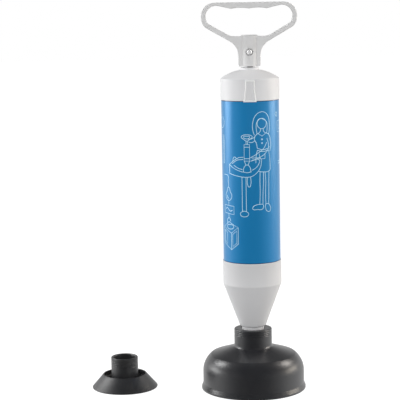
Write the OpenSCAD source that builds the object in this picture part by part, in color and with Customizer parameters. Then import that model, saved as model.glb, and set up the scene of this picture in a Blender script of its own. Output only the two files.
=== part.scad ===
// Drain pump plunger: a hand pump in a plastic barrel, with a large rubber cup on
// its spigot and a small rubber cup beside it.
// The origin is the centre of the large cup's mouth, on the floor, and the pump's
// axis is +Z. The flat handle lies in the XZ plane and -Y is the front.

/* [Barrel] */
// Outer radius of the tube
barrel_r = 38; // [30:0.5:46]
// Wall of the tube
barrel_wall = 3; // [2.6:0.1:4]
// Length of tube between the collar and the cap
open_len = 215; // [120:1:320]
// How much each end of the tube is turned down to enter its sleeve
seat_cut = 1; // [0.5:0.1:1.2]
// Thickness of the printed film round the tube
label_t = 0.3; // [0.1:0.1:0.5]

/* [Large cup] */
// Outer radius of the rubber wall
cup_r = 68.3; // [56:0.1:84]
// Thickness of the rubber wall
cup_wall = 3.8; // [2.5:0.1:5]
// Height of the crown where it meets the neck
crown_h = 57.3; // [48:0.1:72]
// Fall of the crown towards its shoulder, in degrees
crown_fall = 17.8; // [10:0.1:20]
// Thickness of the crown
crown_t = 5; // [3:0.1:7]
// Radius of the rounded shoulder
shoulder_r = 31; // [24:0.5:36]
// How far the crease between crown and shoulder lies inside the wall
crease_in = 11.3; // [7:0.1:15]
// How far the lip of the mouth stands out from the wall
lip_out = 2.2; // [1:0.1:4]
// Height at which the wall starts to flare into the lip
flare_h = 8; // [6:0.5:12]
// Outer radius of the neck
neck_r = 25.4; // [21:0.1:28]
// Height of the neck above the crown
neck_h = 24.7; // [20:0.1:34]

/* [Nozzle cone] */
// Outer radius of the spigot that the cups push onto
spigot_r = 15; // [12:0.1:16]
// Wall of the spigot
spigot_wall = 3.5; // [2:0.1:4.5]
// Length of spigot inside the neck
spigot_grip = 24; // [15:0.5:28]
// Height of bare spigot between the neck and the cone
nozzle_gap = 3.5; // [1:0.1:6]
// Radius of the cone's small end
cone_tip_r = 17.3; // [16.6:0.1:20]
// Height of the cone
cone_h = 59; // [40:0.5:90]
// Wall of the cone
cone_wall = 3; // [2:0.1:4]
// Wall of the collar that holds the tube
collar_wall = 2.15; // [1.8:0.05:3]
// Depth of tube inside the collar
collar_grip = 26; // [15:0.5:35]
// Thickness of the gasket under the tube
gasket_t = 2; // [1:0.1:3]

/* [Top cap] */
// Wall of the cap's skirt
cap_wall = 1.95; // [1.6:0.05:3]
// Depth of tube inside the cap
cap_grip = 19; // [15:0.5:26]
// Height of the cap's skirt
skirt_h = 28; // [24:0.5:40]
// Radius of the domed top
dome_r = 68.7; // [58:0.1:110]
// Thickness of the dome
dome_t = 3; // [2:0.1:4]
// Outer radius of the boss round the rod
boss_r = 12.5; // [11.6:0.1:14]
// Height of the boss over the top of the dome
boss_h = 1.9; // [1:0.1:5]
// Width of the latch tongue at its top
tongue_w = 12.8; // [8:0.1:16]
// Width of the latch tongue at its foot
tongue_foot_w = 17.7; // [12:0.1:22]
// How far the tongue stands out from the skirt
tongue_out = 1.1; // [0.6:0.1:2]
// How far the tongue hangs below the skirt
tongue_hang = 1.5; // [0:0.1:4]
// Radius of the catch peg behind the tongue
catch_r = 2.5; // [1.5:0.1:3]

/* [Piston] */
// Thickness of each clamping plate
plate_t = 3; // [2:0.1:5]
// Thickness of the web of each cup seal
seal_t = 2.5; // [1.5:0.1:4]
// Height of each seal's lip
lip_h = 8; // [6:0.5:12]
// Thickness of each seal's lip
lip_t = 2.2; // [1.5:0.1:3]
// Thickness of the core between the seals
core_t = 8; // [5:0.5:20]
// Radius of the journal that carries the piston
journal_r = 5; // [4.2:0.1:5.2]

/* [Rod] */
// Outer radius of the rod
rod_r = 6.5; // [6.2:0.1:7.8]
// Wall of the rod
rod_wall = 1.2; // [0.8:0.1:1.5]
// Height of the piston over the seat of the tube with the handle down
park_h = 35; // [32:0.5:60]
// Length of the bronze bush in the cap
bush_len = 18; // [10:0.5:24]

/* [Handle] */
// Overall width of the grip
grip_w = 126.4; // [105:0.2:150]
// Height of the handle from its foot to the top of the grip
grip_h = 83.8; // [80:0.2:110]
// Depth of the grip, front to back
grip_depth = 12; // [10:0.5:15]
// Outer radius of the grip's top corners
corner_r = 18; // [14:0.5:19]
// Outer radius of the elbows under the corners
elbow_r = 14; // [10:0.5:16]
// Lean of the grip's sides, in degrees
side_lean = 10.5; // [5:0.5:15]
// Thickness of the sides and arms
arm_t = 6.2; // [4:0.1:8]
// Rise of the arms, in degrees
arm_rise = 30; // [25:1:34]
// Thickness of the grip bar at its ends
bar_end_t = 4.2; // [3:0.1:6]
// Thickness of the grip bar between two fingers
bar_t = 8.5; // [7:0.1:12]
// Distance from finger to finger
finger_w = 23.2; // [18:0.1:26]
// Depth of the finger hollows
finger_cut = 1.1; // [0.5:0.1:3]
// Width of the hub
hub_w = 29.4; // [24:0.2:34]
// Radius of the flare from the hub into the arms
flare_r = 22; // [14:0.5:26]
// Outer radius of the tube that holds the rod
socket_r = 11.2; // [9.4:0.1:12.5]
// Height of the tube that holds the rod
socket_h = 41.1; // [38:0.1:48]
// Height of the cross screw over the foot of the handle
screw_h = 18.8; // [12:0.1:26]

/* [Small cup] */
// Distance from the pump's axis to the small cup
small_x = 176; // [150:1:260]
// How far the small cup stands behind the pump's axis
small_y = 7; // [-40:1:40]
// Outer radius of the small cup's neck
small_neck_r = 18.25; // [17.5:0.05:20]
// Height of the small cup
small_h = 42; // [32:0.1:60]
// Radius of the skirt's foot
small_foot_r = 44.5; // [40:0.1:56]
// Radius of the skirt's free rim
small_rim_r = 29.4; // [26:0.1:33]
// Height of the skirt's free rim
small_rim_h = 18.3; // [15:0.1:24]
// Thickness of the skirt
small_skirt_t = 2.8; // [2:0.1:4]
// Height of the web between the neck and the skirt
small_web_h = 6; // [4:0.5:8]
// Thickness of that web
small_web_t = 3; // [2:0.1:4]

/* [Clearances] */
// Gap round what is pressed, glued or clamped in place
seat_gap = 0.05; // [0.03:0.01:0.1]
// Gap round the rod in its bush and the journal in the piston
turn_gap = 0.06; // [0.03:0.01:0.1]
// Gap between the piston seals and the bore
seal_gap = 0.09; // [0.03:0.01:0.1]
// Gap between the spigot and the bore of a cup
cup_gap = 0.08; // [0.03:0.01:0.1]
// Play of the piston along its journal, at each end
end_play = 0.2; // [0.1:0.05:0.4]
// Gap between the handle's foot and the cap's boss
rest_gap = 1.4; // [0.5:0.1:4]

/* [Hidden] */
$fn = 64;
eps = 0.01;

// Tube and its two sleeves
bore_r = barrel_r - barrel_wall;
seat_r = barrel_r - seat_cut;
sleeve_r = seat_r + seat_gap;
cap_r = sleeve_r + cap_wall;
collar_r = sleeve_r + collar_wall;

// Heights up the pump, from the floor
gasket_land = 3.4;
neck_top = crown_h + neck_h;
cone_z = neck_top + nozzle_gap;
collar_z = cone_z + cone_h;
gasket_z = collar_z + gasket_land;
barrel_z = gasket_z + gasket_t;
open_z = barrel_z + collar_grip;
cap_z = open_z + open_len;
barrel_top = cap_z + cap_grip;
skirt_top = cap_z + skirt_h;
dome_z = skirt_top - sqrt(dome_r ^ 2 - cap_r ^ 2);
dome_top = dome_z + dome_r;
boss_top = dome_top + boss_h;
handle_z = boss_top + rest_gap;

// Inside of the cone, and the width of the land that the gasket lies on
gasket_w = 2.4;
cone_bore_r = seat_r - gasket_w - seat_gap;
spigot_bore_r = spigot_r - spigot_wall;
spigot_z = neck_top - spigot_grip;
tip_round = 3;

// Latch pegs of the cap, in holes through the tube
catch_z = barrel_top - 6;
catch_gap = 0.1;

// Guide inside the cap: bush, wiper and stop buffer
rod_free = 0.6;
bush_wall = 2.4;
bush_flange_t = 1.5;
wiper_t = 3;
boss_lip_t = 2;
bush_r = rod_r + turn_gap + bush_wall;
guide_bore_r = bush_r + seat_gap;
wiper_z = boss_top - boss_lip_t - wiper_t;
bush_z = wiper_z - bush_len;
bush_flange_r = guide_bore_r + 2;
buffer_wall = 5;
buffer_h = 8;
buffer_sink = 5;
buffer_hole_r = rod_r + rod_free;
buffer_r = buffer_hole_r + buffer_wall;
buffer_z = bush_z - bush_flange_t - buffer_h;
guide_r = buffer_r + seat_gap + 3;
guide_z = buffer_z + buffer_h - buffer_sink;

// Piston stack, bottom up
stack_z = barrel_z + park_h;
lower_seal_z = stack_z + plate_t;
core_z = lower_seal_z + seal_t;
upper_seal_z = core_z + core_t;
upper_plate_z = upper_seal_z + seal_t;
stack_top = upper_plate_z + plate_t;
seal_r = bore_r - seal_gap;
plate_r = seal_r - lip_t - 0.3;
core_r = bore_r - 1.5;
piston_hole_r = journal_r + turn_gap;

// Rod and what is in its ends
socket_roof = 7.5;
rod_end_gap = 0.3;
plug_flange_t = 2;
plug_len = 18;
rod_z = stack_top + end_play + plug_flange_t;
rod_top = handle_z + socket_h - socket_roof;
rod_bore_r = rod_r - rod_wall;
plug_r = rod_bore_r - seat_gap;
journal_z = stack_z - end_play;
bolt_r = 3;
bolt_hole_r = bolt_r + seat_gap;
bolt_len = 14;
bolt_head_r = 5.77;
bolt_head_t = 4;
washer_t = 1.5;
washer_r = 9;
spring_t = 1.6;
spring_r = 5.6;
spring_slot = 0.8;
washer_hole_r = bolt_r + 0.2;
spring_z = journal_z - washer_t - spring_t;
pin_r = 1.25;
pin_z = rod_z + 10;
top_plug_len = 22;

// Cross screw of the handle
screw_r = 2;
screw_hole_r = screw_r + 0.15;
screw_head_r = 4.1;
screw_head_t = 2.6;
screw_seat = socket_r - 1.2;
screw_z = handle_z + screw_h;
nut_r = 4.04;
nut_t = 2.3;
nut_seat = rod_r + 0.5;
hub_chamfer = 1.9;

// Grip outline: straight run of a side, and the top of the hub's web
side_straight = 2.6;
web_top = 39.5;
web_round = 16;

// Bores of the rubber cups
cup_bore_r = spigot_r + cup_gap;
neck_chamfer = 2;

// Fine rings moulded round the necks
ring_pitch = 1.7;
ring_cut = 0.35;
ring_w = 0.5;

// Unit vector at an angle
function ray(a) = [cos(a), sin(a)];

// Points along an arc, from one angle to another
function arc(centre, r, from, to, steps = 10) =
    [for (i = [0:steps]) centre + r * ray(from + (to - from) * i / steps)];

// Corner p1 of a path, rounded to radius r, as points along its arc
function corner(p0, p1, p2, r, steps = 6) =
    let (
        u = (p0 - p1) / norm(p0 - p1),
        v = (p2 - p1) / norm(p2 - p1),
        half = acos(u * v) / 2,
        centre = p1 + (u + v) / norm(u + v) * r / sin(half),
        start = p1 + u * r / tan(half) - centre,
        end = p1 + v * r / tan(half) - centre,
        a0 = atan2(start.y, start.x),
        turn = (atan2(end.y, end.x) - a0 + 540) % 360 - 180
    )
    arc(centre, r, a0, a0 + turn, steps);

// A half outline and its mirror image, as one closed outline
function both_halves(half) =
    concat(half, [for (i = [len(half) - 1:-1:0]) [-half[i].x, half[i].y]]);

// Ring with its axis on Z
module ring(r, hole, z, h) {
    translate([0, 0, z])
        difference() {
            cylinder(r = r, h = h);
            translate([0, 0, -eps]) cylinder(r = hole, h = h + 2 * eps);
        }
}

// Cut round the pump's axis, from just below z0 up to z1
module hole(r, z0, z1) {
    translate([0, 0, z0 - eps]) cylinder(r = r, h = z1 - z0 + eps);
}

// Rod that lies along Y, from y0 to y1
module crossbar(r, y0, y1, z, sides = 64) {
    translate([0, y0, z]) rotate([-90, 0, 0]) cylinder(r = r, h = y1 - y0, $fn = sides);
}

// Fine grooves round a neck, counted down from z
module neck_rings(r, z, count) {
    for (i = [0:count - 1])
        ring(r + 1, r - ring_cut, z - i * ring_pitch - ring_w, ring_w);
}

// Plastic tube with both ends turned down and two latch holes
module barrel() {
    color("gainsboro")
        difference() {
            union() {
                translate([0, 0, barrel_z]) cylinder(r = seat_r, h = barrel_top - barrel_z);
                translate([0, 0, open_z]) cylinder(r = barrel_r, h = open_len);
            }
            hole(bore_r, barrel_z, barrel_top + eps);
            crossbar(catch_r + catch_gap, -barrel_r, barrel_r, catch_z);
        }
}

// Printed film wrapped round the tube
module label() {
    color("steelblue") ring(barrel_r + label_t, barrel_r, open_z + 0.2, open_len - 0.4);
}

// Outline of the latch tongue, wider at its foot
module tongue_outline(inset, top, foot) {
    knee = top - (top - foot) * 0.35;
    polygon([
        [tongue_w / 2 - inset, top],
        [tongue_w / 2 - inset, knee],
        [tongue_foot_w / 2 - inset, foot],
        [-tongue_foot_w / 2 + inset, foot],
        [-tongue_w / 2 + inset, knee],
        [-tongue_w / 2 + inset, top]
    ]);
}

// Latch tongue on the front of the skirt, with a sunk middle
module tongue() {
    foot = cap_z - tongue_hang;
    top = skirt_top - 2;
    difference() {
        intersection() {
            ring(cap_r + tongue_out, cap_r - 0.4, foot, top - foot);
            translate([0, -cap_r / 2, 0]) rotate([90, 0, 0])
                linear_extrude(cap_r) tongue_outline(0, top, foot);
        }
        intersection() {
            ring(cap_r + 5, cap_r + tongue_out / 2, foot, top - foot);
            translate([0, -cap_r / 2, 0]) rotate([90, 0, 0])
                linear_extrude(cap_r) tongue_outline(1.8, top - 1.8, foot + 1.8);
        }
    }
}

// Dome and skirt as a shell, open at the bottom
module cap_shell() {
    difference() {
        intersection() {
            translate([0, 0, cap_z]) cylinder(r = cap_r, h = boss_top - cap_z);
            translate([0, 0, dome_z]) sphere(r = dome_r, $fn = 96);
        }
        hole(sleeve_r, cap_z, barrel_top + seat_gap);
        intersection() {
            hole(bore_r, cap_z, boss_top);
            translate([0, 0, dome_z]) sphere(r = dome_r - dome_t, $fn = 96);
        }
    }
}

// Domed cap with a skirt over the tube, two latch tongues and the rod's guide
module top_cap() {
    color("whitesmoke")
        difference() {
            union() {
                cap_shell();
                translate([0, 0, guide_z]) cylinder(r = guide_r, h = dome_top - dome_t - guide_z);
                translate([0, 0, bush_z]) cylinder(r = boss_r, h = boss_top - bush_z);
                for (turn = [0, 180]) rotate(turn) {
                    tongue();
                    intersection() {
                        crossbar(catch_r, -barrel_r, 0, catch_z);
                        ring(barrel_r, bore_r + 0.5, cap_z, cap_grip);
                    }
                }
            }
            hole(rod_r + rod_free, guide_z, boss_top + eps);
            hole(guide_bore_r, guide_z, wiper_z + wiper_t);
            hole(buffer_r + seat_gap, guide_z, bush_z);
        }
}

// Flanged bronze bush that guides the rod in the cap
module rod_bush() {
    color("darkgoldenrod")
        difference() {
            union() {
                translate([0, 0, bush_z]) cylinder(r = bush_r, h = bush_len);
                translate([0, 0, bush_z - bush_flange_t])
                    cylinder(r = bush_flange_r, h = bush_flange_t);
            }
            hole(rod_r + turn_gap, bush_z - bush_flange_t, bush_z + bush_len + eps);
        }
}

// Felt ring above the bush that wipes the rod
module rod_wiper() {
    color("dimgray") ring(bush_r, rod_r + turn_gap, wiper_z, wiper_t);
}

// Rubber ring under the bush that the piston meets at the top of its stroke
module stop_buffer() {
    color("black") ring(buffer_r, buffer_hole_r, buffer_z, buffer_h);
}

// Collar, cone and hollow spigot in one moulding
module nozzle_cone() {
    slope = (collar_r - cone_tip_r) / cone_h;
    wall_out = cone_wall * sqrt(1 + slope ^ 2);
    floor_z = cone_z + cone_wall;
    inner_tip_r = max(cone_tip_r + slope * cone_wall - wall_out, spigot_bore_r + 0.5);
    knee_z = cone_z + (cone_bore_r + wall_out - cone_tip_r) / slope;
    rounded_tip = corner([0, cone_z], [cone_tip_r, cone_z], [collar_r, collar_z], tip_round);
    color("whitesmoke")
        rotate_extrude()
            polygon(concat(
                [[spigot_bore_r, spigot_z], [spigot_r - 1, spigot_z]],
                [[spigot_r, spigot_z + 1], [spigot_r, cone_z]],
                rounded_tip,
                [[collar_r, collar_z], [collar_r, open_z], [sleeve_r, open_z]],
                [[sleeve_r, gasket_z], [cone_bore_r, gasket_z], [cone_bore_r, knee_z]],
                [[inner_tip_r, floor_z], [spigot_bore_r, floor_z]]
            ));
}

// Flat rubber gasket between the tube's end and its seat in the cone
module barrel_gasket() {
    color("black") ring(seat_r, cone_bore_r, gasket_z, gasket_t);
}

// Round plate that clamps a piston seal
module piston_plate(z) {
    color("lightgray") ring(plate_r, piston_hole_r, z, plate_t);
}

// Rubber cup seal with its lip upwards from z
module piston_seal() {
    color("black") {
        ring(seal_r, piston_hole_r, 0, seal_t);
        ring(seal_r, seal_r - lip_t, 0, lip_h);
    }
}

// Spacer between the two seals, with a weight-saving groove
module piston_core() {
    color("lightgray")
        difference() {
            ring(core_r, piston_hole_r, core_z, core_t);
            ring(core_r + 1, core_r - 6, core_z + core_t / 4, core_t / 2);
        }
}

// Polished steel tube with cross holes for the screw and the pin
module piston_rod() {
    color("silver")
        difference() {
            ring(rod_r, rod_bore_r, rod_z, rod_top - rod_z);
            crossbar(screw_hole_r, -rod_r - 1, rod_r + 1, screw_z);
            rotate(90) crossbar(pin_r + seat_gap, -rod_r - 1, rod_r + 1, pin_z);
        }
}

// Turned plug in the rod's lower end, with the journal that carries the piston
module rod_end_plug() {
    color("silver")
        difference() {
            union() {
                translate([0, 0, journal_z]) cylinder(r = journal_r, h = rod_z - journal_z);
                translate([0, 0, rod_z - plug_flange_t]) cylinder(r = rod_r, h = plug_flange_t);
                translate([0, 0, rod_z]) cylinder(r = plug_r, h = plug_len);
            }
            hole(bolt_hole_r, journal_z, spring_z + bolt_len + 1);
            rotate(90) crossbar(pin_r + seat_gap, -rod_r - 1, rod_r + 1, pin_z);
        }
}

// Pin through the rod and its end plug
module plug_pin() {
    color("gray") rotate(90) crossbar(pin_r, -rod_r + 0.2, rod_r - 0.2, pin_z);
}

// Plug inside the rod's upper end that the cross screw passes
module rod_top_plug() {
    color("lightgray")
        difference() {
            translate([0, 0, screw_z - top_plug_len / 2]) cylinder(r = plug_r, h = top_plug_len);
            crossbar(screw_hole_r, -rod_r, rod_r, screw_z);
        }
}

// Plain washer that keeps the piston on its journal
module end_washer() {
    color("silver") ring(washer_r, washer_hole_r, journal_z - washer_t, washer_t);
}

// Split spring washer under the bolt's head
module spring_washer() {
    color("gray")
        difference() {
            ring(spring_r, washer_hole_r, spring_z, spring_t);
            translate([0, -spring_slot / 2, spring_z - 1])
                cube([spring_r + 1, spring_slot, spring_t + 2]);
        }
}

// Hexagon bolt up into the end plug
module end_bolt() {
    color("silver") {
        translate([0, 0, spring_z - bolt_head_t])
            cylinder(r = bolt_head_r, h = bolt_head_t, $fn = 6);
        translate([0, 0, spring_z]) cylinder(r = bolt_r, h = bolt_len);
    }
}

// Outside of the grip, arms and hub, from the top bar down to the foot
function handle_outside() =
    let (
        top = [grip_w / 2 - corner_r, grip_h - corner_r],
        low = elbow_centre(),
        arm = low + elbow_r * ray(arm_rise - 90),
        flare_x = hub_w / 2 + flare_r,
        arm_x = flare_x - flare_r * sin(arm_rise),
        arm_y = arm.y - (arm.x - arm_x) * tan(arm_rise),
        flare = [flare_x, arm_y - flare_r * cos(arm_rise)]
    )
    concat(
        arc(top, corner_r, 90, -side_lean, 12),
        arc(low, elbow_r, -side_lean, arm_rise - 90, 8),
        arc(flare, flare_r, arm_rise + 90, 180, 8),
        [[hub_w / 2, hub_chamfer], [hub_w / 2 - hub_chamfer, 0]]
    );

// Centre of the elbow between a side and an arm
function elbow_centre() =
    [grip_w / 2 - corner_r, grip_h - corner_r]
        + (corner_r - elbow_r) * ray(-side_lean)
        + side_straight * ray(-side_lean - 90);

// Inside of the grip, with hollows for four fingers
function handle_inside() =
    let (
        cusp_y = grip_h - bar_t,
        hollow_r = (finger_w ^ 2 / 4 + finger_cut ^ 2) / (2 * finger_cut),
        hollow_a = asin(finger_w / 2 / hollow_r),
        round_r = corner_r - bar_end_t,
        top = [grip_w / 2 - arm_t - round_r, grip_h - bar_end_t - round_r],
        reach = top - [finger_w, cusp_y],
        slope = atan2(reach.y, reach.x) + asin(round_r / norm(reach)),
        inner_r = elbow_r - arm_t,
        low = elbow_centre(),
        arm = low + inner_r * ray(arm_rise - 90),
        above = arm + web_round * ray(arm_rise + 90),
        run = (web_top + web_round - above.y) / sin(arm_rise)
    )
    concat(
        arc([finger_w / 2, cusp_y + finger_cut - hollow_r], hollow_r, 90 + hollow_a, 90 - hollow_a, 6),
        arc(top, round_r, slope + 90, -side_lean, 12),
        arc(low, inner_r, -side_lean, arm_rise - 90, 8),
        arc(above + run * ray(arm_rise), web_round, arm_rise - 90, -90, 4)
    );

// One-piece handle: hollow grip, arms, hub and the socket for the rod
module handle() {
    color("lightgray")
        difference() {
            union() {
                translate([0, grip_depth / 2, handle_z]) rotate([90, 0, 0])
                    linear_extrude(grip_depth)
                        difference() {
                            polygon(both_halves(handle_outside()));
                            polygon(both_halves(handle_inside()));
                        }
                translate([0, 0, handle_z]) cylinder(r = socket_r, h = socket_h);
            }
            hole(rod_r + seat_gap, handle_z, rod_top + rod_end_gap);
            crossbar(screw_hole_r, -socket_r - 1, socket_r + 1, screw_z);
            crossbar(screw_head_r + 0.4, -socket_r - 1, -screw_seat, screw_z);
            crossbar(nut_r + seat_gap, nut_seat, socket_r + 1, screw_z, sides = 6);
        }
}

// Pan-head cross screw with a cross recess
module handle_screw() {
    color("silver")
        difference() {
            union() {
                crossbar(screw_head_r, -screw_seat - screw_head_t, -screw_seat, screw_z);
                crossbar(screw_r, -screw_seat, nut_seat + nut_t, screw_z);
            }
            for (turn = [0, 90])
                translate([0, -screw_seat - screw_head_t, screw_z]) rotate([0, turn, 0])
                    cube([0.9, 2.4, 4.4], center = true);
        }
}

// Hexagon nut in its pocket at the back of the hub
module handle_nut() {
    color("gray")
        difference() {
            crossbar(nut_r, nut_seat, nut_seat + nut_t, screw_z, sides = 6);
            crossbar(screw_r + seat_gap, nut_seat - 1, nut_seat + nut_t + 1, screw_z);
        }
}

// Rubber cup with a flared lip, a rounded shoulder, a creased crown and a thick neck
module large_cup() {
    fall = tan(crown_fall);
    mouth_r = cup_r - cup_wall;
    lip_r = cup_r + lip_out;
    crown_inner_z = crown_h + (neck_r - cup_bore_r) * fall - crown_t / cos(crown_fall);
    crease = [cup_r - crease_in, crown_h - (cup_r - crease_in - neck_r) * fall];
    crease_a = acos(1 - crease_in / shoulder_r);
    centre = crease - shoulder_r * ray(crease_a);
    inner_r = shoulder_r - cup_wall;
    inner_a = acos((crease.x - centre.x) / inner_r);
    flare = [cup_r, flare_h];
    neck_foot = [neck_r, crown_h];
    color("dimgray")
        difference() {
            rotate_extrude()
                polygon(concat(
                    [[mouth_r, 0], [lip_r - 0.8, 0], [lip_r, 0.8], [lip_r, 2.8]],
                    corner([lip_r, 2.8], flare, [cup_r, centre.y], 4, 3),
                    arc(centre, shoulder_r, 0, crease_a),
                    corner(crease, neck_foot, [neck_r, neck_top], 3, 4),
                    [[neck_r, neck_top - 1.2], [neck_r - 1.2, neck_top]],
                    [[cup_bore_r + neck_chamfer, neck_top], [cup_bore_r, neck_top - neck_chamfer]],
                    [[cup_bore_r, crown_inner_z]],
                    arc(centre, inner_r, inner_a, 0)
                ));
            neck_rings(neck_r, neck_top - 2.6, 3);
        }
}

// Rubber cup with a free conical skirt round its neck
module small_cup() {
    slope = (small_foot_r - small_rim_r) / (small_rim_h - 0.8);
    side_t = small_skirt_t * sqrt(1 + slope ^ 2);
    web_top_z = small_web_h + small_web_t;
    color("dimgray")
        translate([-small_x, small_y, 0])
            difference() {
                rotate_extrude()
                    polygon([
                        [cup_bore_r, small_web_h],
                        [small_foot_r - side_t - slope * (small_web_h - 0.8), small_web_h],
                        [small_foot_r - side_t + slope * 0.8, 0],
                        [small_foot_r - 0.4, 0],
                        [small_foot_r, 0.8],
                        [small_rim_r, small_rim_h],
                        [small_rim_r - side_t * 0.6, small_rim_h],
                        [small_foot_r - side_t - slope * (web_top_z - 0.8), web_top_z],
                        [small_neck_r, web_top_z],
                        [small_neck_r, small_h - 1],
                        [small_neck_r - 1, small_h],
                        [cup_bore_r + 1, small_h],
                        [cup_bore_r, small_h - 1]
                    ]);
                neck_rings(small_neck_r, small_h - 3, 4);
            }
}

barrel();
label();
top_cap();
rod_bush();
rod_wiper();
stop_buffer();
nozzle_cone();
barrel_gasket();
piston_plate(upper_plate_z);  // piston_upper_plate
translate([0, 0, upper_seal_z]) piston_seal();  // piston_upper_seal
piston_core();
translate([0, 0, core_z]) mirror([0, 0, 1]) piston_seal();  // piston_lower_seal
piston_plate(stack_z);  // piston_lower_plate
piston_rod();
rod_end_plug();
plug_pin();
rod_top_plug();
end_washer();
spring_washer();
end_bolt();
handle();
handle_screw();
handle_nut();
large_cup();
small_cup();
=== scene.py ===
import math

import bmesh
import bpy
from mathutils import Matrix, Vector


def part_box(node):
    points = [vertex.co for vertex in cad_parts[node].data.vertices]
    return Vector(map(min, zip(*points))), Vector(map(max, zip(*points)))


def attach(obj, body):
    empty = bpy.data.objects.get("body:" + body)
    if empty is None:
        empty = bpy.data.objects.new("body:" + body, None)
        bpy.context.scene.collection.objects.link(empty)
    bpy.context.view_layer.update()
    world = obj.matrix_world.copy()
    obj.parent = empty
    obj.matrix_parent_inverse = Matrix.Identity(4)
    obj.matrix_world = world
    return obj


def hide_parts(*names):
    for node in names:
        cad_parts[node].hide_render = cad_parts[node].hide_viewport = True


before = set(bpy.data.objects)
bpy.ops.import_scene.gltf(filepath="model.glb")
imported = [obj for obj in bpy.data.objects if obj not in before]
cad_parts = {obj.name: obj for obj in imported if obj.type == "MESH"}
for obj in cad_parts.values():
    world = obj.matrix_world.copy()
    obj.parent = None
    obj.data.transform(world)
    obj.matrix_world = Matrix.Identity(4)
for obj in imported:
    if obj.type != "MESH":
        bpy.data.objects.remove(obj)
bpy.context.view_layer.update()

# The tube: the pump's barrel, drawn from clear-white plastic pipe.
# Both ends are turned down to enter the cone and the cap; the film covers the rest.
def new_surface(name, **inputs):
    """Node group that gives a finish its colour, roughness and fine relief."""
    surface = bpy.data.node_groups.new(name, "ShaderNodeTree")
    surface.interface.new_socket(name="Vector", in_out="INPUT", socket_type="NodeSocketVector")
    for label, value in inputs.items():
        kind = "NodeSocketColor" if isinstance(value, tuple) else "NodeSocketFloat"
        socket = surface.interface.new_socket(name=label, in_out="INPUT", socket_type=kind)
        socket.default_value = value
    surface.interface.new_socket(name="Colour", in_out="OUTPUT", socket_type="NodeSocketColor")
    surface.interface.new_socket(name="Roughness", in_out="OUTPUT", socket_type="NodeSocketFloat")
    surface.interface.new_socket(name="Normal", in_out="OUTPUT", socket_type="NodeSocketVector")
    inside = surface.nodes.new("NodeGroupInput")
    outside = surface.nodes.new("NodeGroupOutput")
    return surface, inside.outputs, outside.inputs


def noise(surface, vector, scale, detail):
    """Noise of one size; the scale is a number of lumps to the metre."""
    node = surface.nodes.new("ShaderNodeTexNoise")
    node.inputs["Detail"].default_value = detail
    surface.links.new(vector, node.inputs["Vector"])
    if isinstance(scale, (int, float)):
        node.inputs["Scale"].default_value = scale
    else:
        surface.links.new(scale, node.inputs["Scale"])
    return node.outputs["Fac"]


def reckon(surface, operation, *terms):
    """Math node on two or three terms, each a socket or a number."""
    node = surface.nodes.new("ShaderNodeMath")
    node.operation = operation
    for socket, term in zip(node.inputs, terms):
        if isinstance(term, (int, float)):
            socket.default_value = term
        else:
            surface.links.new(term, socket)
    return node.outputs["Value"]


def blended(surface, factor, first, second):
    """Colour between two colours, each a socket."""
    node = surface.nodes.new("ShaderNodeMix")
    node.data_type = "RGBA"
    surface.links.new(factor, node.inputs["Factor"])
    surface.links.new(first, node.inputs["A"])
    surface.links.new(second, node.inputs["B"])
    return node.outputs["Result"]


def relief(surface, height, depth, normal):
    """Bump of that depth, in metres, out to the normal socket."""
    node = surface.nodes.new("ShaderNodeBump")
    node.inputs["Strength"].default_value = 0.5
    surface.links.new(height, node.inputs["Height"])
    surface.links.new(depth, node.inputs["Distance"])
    surface.links.new(node.outputs["Normal"], normal)


white = (1.0, 1.0, 1.0, 1.0)
skin, given, made = new_surface("moulded skin", Light=white, Dark=white, Grain=900.0,
                                Roughness=0.4, Spread=0.1, Depth=0.0001)
fine = noise(skin, given["Vector"], given["Grain"], 4.0)
drift = noise(skin, given["Vector"], 14.0, 2.0)
skin.links.new(blended(skin, drift, given["Dark"], given["Light"]), made["Colour"])
patchy = reckon(skin, "ADD", reckon(skin, "MULTIPLY", fine, 0.5), reckon(skin, "MULTIPLY", drift, 0.5))
skin.links.new(reckon(skin, "MULTIPLY_ADD", patchy, given["Spread"], given["Roughness"]),
               made["Roughness"])
relief(skin, fine, given["Depth"], made["Normal"])


def finish(name, surface, metallic=0.0, specular=0.5, coat=0.0, **inputs):
    """Material whose varying parts come from a surface group and whose gloss is its own."""
    material = bpy.data.materials.new(name)
    material.use_nodes = True
    tree = material.node_tree
    shader = tree.nodes["Principled BSDF"]
    shader.inputs["Metallic"].default_value = metallic
    shader.inputs["Specular IOR Level"].default_value = specular
    shader.inputs["Coat Weight"].default_value = coat
    shader.inputs["Coat Roughness"].default_value = 0.12
    place = tree.nodes.new("ShaderNodeTexCoord")
    laid = tree.nodes.new("ShaderNodeGroup")
    laid.node_tree = surface
    tree.links.new(place.outputs["Object"], laid.inputs["Vector"])
    for label, value in inputs.items():
        laid.inputs[label].default_value = value
    tree.links.new(laid.outputs["Colour"], shader.inputs["Base Color"])
    tree.links.new(laid.outputs["Roughness"], shader.inputs["Roughness"])
    tree.links.new(laid.outputs["Normal"], shader.inputs["Normal"])
    return material


def dress(node, material):
    """Gives a node of the frame its material."""
    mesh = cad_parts[node].data
    mesh.materials.clear()
    mesh.materials.append(material)


tube_plastic = finish("tube plastic", skin, Light=(0.80, 0.81, 0.82, 1), Dark=(0.75, 0.76, 0.77, 1),
                      Grain=1400.0, Roughness=0.26, Spread=0.08, Depth=0.00005)
dress("barrel", tube_plastic)

# The gasket: a flat ring of black rubber, stamped from sheet.
# It lies on the land inside the cone, and the end of the tube presses on it.
black_rubber = finish("black rubber", skin, Light=(0.022, 0.022, 0.023, 1), Dark=(0.014, 0.014, 0.015, 1),
                      Grain=2200.0, Roughness=0.55, Spread=0.2, Depth=0.0002)
dress("barrel_gasket", black_rubber)

# The nozzle cone: collar, cone and hollow spigot in one white moulding.
# The tube is glued into the collar, and the cups push onto the spigot.
FULL_TURN = 128


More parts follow.
